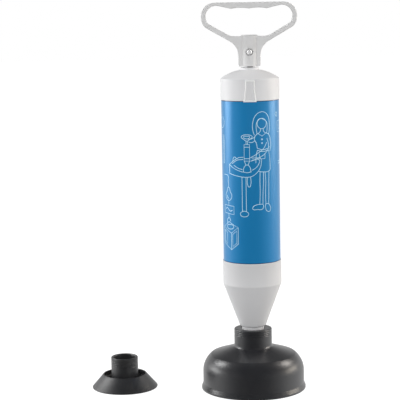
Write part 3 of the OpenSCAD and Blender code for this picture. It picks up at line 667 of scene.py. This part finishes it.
for tilt in (0.0, 90.0):
    bm = bmesh.new()
    blade = bmesh.ops.create_cube(bm, size=1.0)["verts"]
    bmesh.ops.scale(bm, verts=blade, vec=BLADE)
    floor_edges = [e for e in bm.edges if all(v.co.y > 0 for v in e.verts)]
    bmesh.ops.bevel(bm, geom=floor_edges, offset=0.0002, offset_type="OFFSET", affect="EDGES",
                    segments=2, profile=0.5, material=-1)
    turn = Matrix.Rotation(math.radians(tilt), 3, "Y")
    bmesh.ops.rotate(bm, verts=bm.verts, cent=(0, 0, 0), matrix=turn)
    bmesh.ops.translate(bm, verts=bm.verts, vec=(0, -head_top, screw_z))
    joined(screw, into_piece(bm, "blade", screw_white_painted_reflection), "DIFFERENCE")
screw.data.shade_smooth()
screw.data.set_sharp_from_angle(angle=math.radians(35))
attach(screw, "rod")
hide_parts("handle_screw")

# The nut: zinc-plated, with chamfered corners.
# It lies in its six-sided pocket at the back of the socket.
low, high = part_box("handle_nut")
bm = bmesh.new()
flats = bmesh.ops.create_circle(bm, cap_ends=True, segments=6, radius=0.00404)["verts"]
bmesh.ops.rotate(bm, verts=flats, cent=(0, 0, 0), matrix=Matrix.Rotation(math.radians(90), 3, "X"))
bmesh.ops.translate(bm, verts=flats, vec=(0, low.y, screw_z))
pushed = bmesh.ops.extrude_face_region(bm, geom=bm.faces[:])["geom"]
far = [v for v in pushed if isinstance(v, bmesh.types.BMVert)]
bmesh.ops.translate(bm, verts=far, vec=(0, high.y - low.y, 0))
bmesh.ops.recalc_face_normals(bm, faces=bm.faces)
bmesh.ops.bevel(bm, geom=bm.edges[:], offset=0.00025, offset_type="OFFSET", affect="EDGES",
                segments=2, profile=0.5, material=-1)
nut = into_piece(bm, "cross_screw_nut", zinc)
joined(nut, peg(0.00205, low.y - 0.001, high.y + 0.001, screw_z), "DIFFERENCE")
nut.data.shade_smooth()
nut.data.set_sharp_from_angle(angle=math.radians(35))
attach(nut, "rod")
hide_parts("handle_nut")

# The large cup: black rubber with a flared lip, a creased crown and a thick ringed neck.
# Its neck grips the spigot, and the cup pulls off to change it for the small one.
rubber, given, made = new_surface("cup rubber", Light=white, Dark=white, Bloom=white, Grain=900.0,
                                  Roughness=0.5, Spread=0.1, Depth=0.0001)
fine = noise(rubber, given["Vector"], given["Grain"], 4.0)
drift = noise(rubber, given["Vector"], 24.0, 3.0)
cloud = noise(rubber, given["Vector"], 60.0, 5.0)
bloom = reckon(rubber, "POWER", cloud, 3.0)
plain = blended(rubber, drift, given["Dark"], given["Light"])
rubber.links.new(blended(rubber, bloom, plain, given["Bloom"]), made["Colour"])
rubber.links.new(reckon(rubber, "MULTIPLY_ADD", reckon(rubber, "ADD", fine, bloom), given["Spread"],
                        given["Roughness"]), made["Roughness"])
relief(rubber, fine, given["Depth"], made["Normal"])
cup_rubber = finish("cup rubber", rubber, specular=0.9, Light=(0.018, 0.019, 0.023, 1),
                    Dark=(0.014, 0.015, 0.018, 1), Bloom=(0.032, 0.031, 0.031, 1), Grain=1300.0,
                    Roughness=0.29, Spread=0.08, Depth=0.00004)


RING_PITCH = 0.0024
GROOVE_WIDTH = 0.0012
GROOVE_DEPTH = 0.0005


def ringed(top, radius, first, count):
    """Corners of fine grooves down a neck, from the first one's depth below the top."""
    corners = []
    for i in range(count):
        groove = top - first - i * RING_PITCH
        corners += [(radius, groove, 0.0003),
                    (radius - GROOVE_DEPTH, groove - GROOVE_WIDTH / 2, 0.0003),
                    (radius, groove - GROOVE_WIDTH, 0.0003)]
    return corners


low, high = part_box("large_cup")
neck_top = high.z
neck_r, wall_r, lip_r, mouth_r = 0.0254, 0.0683, high.x, 0.0645
crown_z = neck_top - 0.0247
shoulder_z = 0.02322
crease_r, crease_z = wall_r - 0.0113, 0.04715
turn_r = 0.031
bm = bmesh.new()
bend = shoulder_z + turn_r * math.tan(math.radians(50.54) / 2)
inner_bend = shoulder_z + 0.0272 * math.tan(math.radians(43.6) / 2)
outside = [
    (mouth_r + 0.0004, 0.0, 0.0002), (lip_r, 0.0, 0.0007), (lip_r, 0.0026, 0.0010),
    (wall_r, 0.0080, 0.0040), (wall_r, bend, 0.0290), (crease_r, crease_z, 0.0008),
    (neck_r, crown_z, 0.0038),
]
neck = ringed(neck_top, neck_r, 0.0026, 3)[::-1] + [
    (neck_r, neck_top, 0.0014), (0.01708, neck_top, 0.0008), (0.01508, neck_top - 0.0020, 0.0008),
]
inside = [
    (0.01508, crown_z - 0.0019, 0.0010), (crease_r, 0.04206, 0.0020), (mouth_r, inner_bend, 0.0260),
    (mouth_r, 0.0004, 0.0002),
]
wire_loop(bm, outside + neck + inside)
spun(bm)
big_cup = into_piece(bm, "large_cup_moulding", cup_rubber, crease=50.0)
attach(big_cup, "large_cup")
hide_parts("large_cup")

# The small cup: the same rubber, with a free conical skirt round its neck.
# It stands loose beside the pump and fits the same spigot.
matt_rubber = finish("small cup rubber", rubber, specular=1.0, Light=(0.016, 0.017, 0.020, 1),
                     Dark=(0.011, 0.012, 0.014, 1), Bloom=(0.038, 0.036, 0.034, 1), Grain=1300.0,
                     Roughness=0.40, Spread=0.10, Depth=0.00006)
low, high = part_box("small_cup")
centre = ((low.x + high.x) / 2, (low.y + high.y) / 2)
foot_r = (high.x - low.x) / 2
rim_r, rim_z, small_neck_r = 0.0294, 0.0183, 0.01825
fall = (foot_r - rim_r) / (rim_z - 0.0008)
skirt_t = 0.0028 * math.sqrt(1 + fall * fall)
well_z, web_z = 0.009, 0.006
bm = bmesh.new()
skirt = [
    (foot_r - skirt_t + fall * 0.0008, 0.0, 0.0002), (foot_r - 0.0004, 0.0, 0.0003),
    (foot_r, 0.0009, 0.0006), (rim_r, rim_z, 0.0004), (rim_r - skirt_t * 0.45, rim_z, 0.0004),
    (foot_r - skirt_t - fall * (well_z - 0.0008), well_z, 0.0012), (small_neck_r, well_z, 0.0016),
]
small_neck = ringed(high.z, small_neck_r, 0.0042, 4)[::-1] + [
    (small_neck_r, high.z, 0.0013), (0.0163, high.z, 0.0006), (0.01508, high.z - 0.0014, 0.0006),
    (0.01508, web_z, 0.0008), (foot_r - skirt_t - fall * (web_z - 0.0008), web_z, 0.0008),
]
wire_loop(bm, skirt + small_neck)
spun(bm, centre)
little_cup = into_piece(bm, "small_cup_moulding", matt_rubber, crease=50.0)
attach(little_cup, "small_cup")
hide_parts("small_cup")

# The floor: a plain white sheet, large enough to fill the view.
# It isn't part of the pump.
paper, given, made = new_surface("white paper", Light=white, Dark=white, Roughness=0.8, Spread=0.1,
                                 Depth=0.0001)
tooth = noise(paper, given["Vector"], 400.0, 3.0)
paper.links.new(blended(paper, tooth, given["Dark"], given["Light"]), made["Colour"])
paper.links.new(reckon(paper, "MULTIPLY_ADD", tooth, given["Spread"], given["Roughness"]),
                made["Roughness"])
relief(paper, tooth, given["Depth"], made["Normal"])
floor_white = finish("floor white", paper, specular=0.0, Light=(0.22, 0.22, 0.22, 1),
                     Dark=(0.20, 0.20, 0.20, 1))
lit = floor_white.node_tree
glow = lit.nodes["Principled BSDF"]
glow.inputs["Emission Color"].default_value = (1.0, 1.0, 1.0, 1.0)
ray_kind = lit.nodes.new("ShaderNodeLightPath")
bounce = lit.nodes.new("ShaderNodeMapRange")
bounce.inputs["To Min"].default_value = 0.10
bounce.inputs["To Max"].default_value = 1.0
lit.links.new(ray_kind.outputs["Is Camera Ray"], bounce.inputs["Value"])
lit.links.new(bounce.outputs["Result"], glow.inputs["Emission Strength"])
bm = bmesh.new()
bmesh.ops.create_grid(bm, x_segments=4, y_segments=4, size=12.0)
bmesh.ops.translate(bm, verts=bm.verts, vec=(0, 0, -0.0003))
floor = into_piece(bm, "floor_sheet", floor_white)
floor.visible_glossy = False

# The studio: a white room that is darker towards the camera, with soft boxes left and right.
# The round parts are light at their sides; the fill lights in front and above leave no reflection.
world = bpy.data.worlds.new("white room")
world.use_nodes = True
bpy.context.scene.world = world
tree = world.node_tree
backdrop = tree.nodes["Background"]
view = tree.nodes.new("ShaderNodeTexCoord")
split = tree.nodes.new("ShaderNodeSeparateXYZ")
ramp = tree.nodes.new("ShaderNodeMapRange")
ramp.interpolation_type = "SMOOTHSTEP"
tree.links.new(view.outputs["Generated"], split.inputs["Vector"])
tree.links.new(split.outputs["Y"], ramp.inputs["Value"])
ramp.inputs["From Min"].default_value = -1.0
ramp.inputs["From Max"].default_value = 0.10
ramp.inputs["To Min"].default_value = 0.09
ramp.inputs["To Max"].default_value = 1.05
ceiling = tree.nodes.new("ShaderNodeMapRange")
ceiling.interpolation_type = "SMOOTHSTEP"
tree.links.new(split.outputs["Z"], ceiling.inputs["Value"])
ceiling.inputs["From Min"].default_value = 0.05
ceiling.inputs["From Max"].default_value = 0.60
ceiling.inputs["To Min"].default_value = 1.0
ceiling.inputs["To Max"].default_value = 0.12
dimmed = tree.nodes.new("ShaderNodeMath")
dimmed.operation = "MULTIPLY"
tree.links.new(ramp.outputs["Result"], dimmed.inputs[0])
tree.links.new(ceiling.outputs["Result"], dimmed.inputs[1])
seen = tree.nodes.new("ShaderNodeLightPath")
plain_white = tree.nodes.new("ShaderNodeMix")
plain_white.inputs["B"].default_value = 1.0
tree.links.new(seen.outputs["Is Camera Ray"], plain_white.inputs["Factor"])
tree.links.new(dimmed.outputs["Value"], plain_white.inputs["A"])
tree.links.new(plain_white.outputs["Result"], backdrop.inputs["Strength"])
backdrop.inputs["Color"].default_value = (1.0, 1.0, 1.0, 1.0)


def soft_box(name, place, aim, size, power, mirrored=True, tint=(1.0, 1.0, 1.0)):
    """Rectangular lamp at a place, turned to its aim; a fill light leaves no reflection."""
    lamp = bpy.data.lights.new(name, "AREA")
    lamp.shape = "RECTANGLE"
    lamp.size, lamp.size_y = size
    lamp.energy = power
    lamp.color = tint
    stand = bpy.data.objects.new(name, lamp)
    stand.matrix_world = (Matrix.Translation(place)
                          @ (Vector(aim) - Vector(place)).to_track_quat("-Z", "Y").to_matrix().to_4x4())
    stand.visible_camera = False
    stand.visible_glossy = mirrored
    bpy.context.scene.collection.objects.link(stand)


soft_box("left high box", (-1.25, 0.35, 1.05), (0.0, 0.0, 0.15), (0.5, 0.5), 7.6)
soft_box("right high box", (1.25, 0.35, 1.05), (0.0, 0.0, 0.15), (0.5, 0.5), 8.0,
         tint=(1.0, 0.94, 0.88))
soft_box("left low box", (-1.40, 0.20, 0.34), (0.0, 0.0, 0.08), (0.8, 0.25), 3.2)
soft_box("right low box", (1.40, 0.20, 0.34), (0.0, 0.0, 0.08), (0.8, 0.25), 3.4,
         tint=(1.0, 0.90, 0.76))
soft_box("left box", (-1.60, 0.45, 0.65), (0.0, 0.0, 0.35), (0.8, 1.5), 2.5)
soft_box("right box", (1.60, 0.45, 0.65), (0.0, 0.0, 0.35), (0.8, 1.5), 1.0)
soft_box("left fill", (-1.30, -1.25, 0.80), (0.0, 0.0, 0.40), (0.8, 1.2), 9.5, mirrored=False)
soft_box("right fill", (1.30, -1.25, 0.80), (0.0, 0.0, 0.40), (0.8, 1.2), 8.5, mirrored=False)
soft_box("front fill", (0.0, -2.10, 0.90), (0.0, 0.0, 0.45), (1.6, 1.0), 11.0, mirrored=False)
soft_box("top fill", (0.0, -0.30, 1.80), (0.0, 0.0, 0.45), (0.9, 0.9), 3.0, mirrored=False)

# The camera: a long lens in front of the pump, a little above its middle.
# It looks slightly down and is turned by a degree or two.
lens = bpy.data.cameras.new("camera")
lens.lens = 126.0
lens.sensor_width = 36.0
camera = bpy.data.objects.new("camera", lens)
camera.matrix_world = (Matrix.Translation((0.0, -1.853635, 0.513638))
                       @ Matrix.Rotation(math.radians(2.11874), 4, "Z")
                       @ Matrix.Rotation(math.radians(82.1268), 4, "X")
                       @ Matrix.Rotation(math.radians(-1.05), 4, "Z"))
bpy.context.scene.collection.objects.link(camera)
bpy.context.scene.camera = camera
bpy.context.scene.view_settings.view_transform = "Standard"
